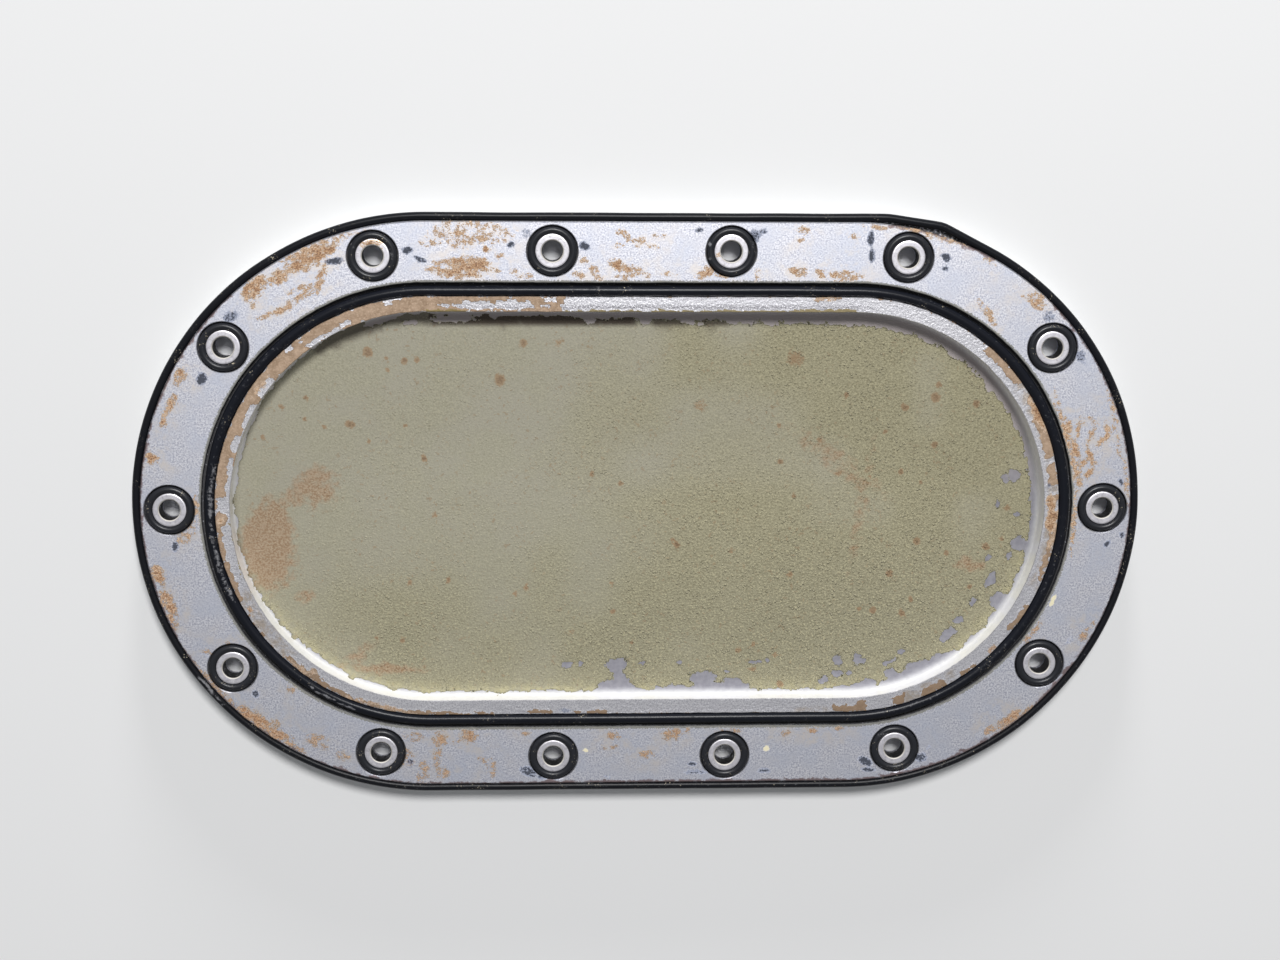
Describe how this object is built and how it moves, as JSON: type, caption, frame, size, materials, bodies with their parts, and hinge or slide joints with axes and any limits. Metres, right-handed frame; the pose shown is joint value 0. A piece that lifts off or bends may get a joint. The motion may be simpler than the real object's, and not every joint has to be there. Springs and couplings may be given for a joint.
{
  "type": "wing access panel",
  "caption": "Oblong flush access panel with a milled pan, a main seal, a perimeter seal and sealed, bushed holes for countersunk screws.",
  "frame": {"origin": "middle of the outer skin face, on which the panel lies", "axes": "+X along the longer side, +Z out of the sealing face"},
  "size_m": [0.2494, 0.1454, 0.0085],
  "materials": {
    "plate": "worn, pale etched aluminium with flaked tan primer on the lip and an olive coating in the pan",
    "bush": "plain turned metal, lightly stained",
    "main_seal": "smooth black rubber with a soft shine",
    "perimeter_seal": "black rubber, dusty in places",
    "screw_seal": "black rubber with specks of grit"
  },
  "bodies": {
    "root": {"door_plate": "plate", "main_seal": "main_seal", "perimeter_seal": "perimeter_seal", "screw_seal_01": "screw_seal", "screw_seal_02": "screw_seal", "screw_seal_03": "screw_seal", "screw_seal_04": "screw_seal", "screw_seal_05": "screw_seal", "screw_seal_06": "screw_seal", "screw_seal_07": "screw_seal", "screw_seal_08": "screw_seal", "screw_seal_09": "screw_seal", "screw_seal_10": "screw_seal", "screw_seal_11": "screw_seal", "screw_seal_12": "screw_seal", "screw_seal_13": "screw_seal", "screw_seal_14": "screw_seal", "screw_bush_01": "bush", "screw_bush_02": "bush", "screw_bush_03": "bush", "screw_bush_04": "bush", "screw_bush_05": "bush", "screw_bush_06": "bush", "screw_bush_07": "bush", "screw_bush_08": "bush", "screw_bush_09": "bush", "screw_bush_10": "bush", "screw_bush_11": "bush", "screw_bush_12": "bush", "screw_bush_13": "bush", "screw_bush_14": "bush"}
  },
  "joints": []
}
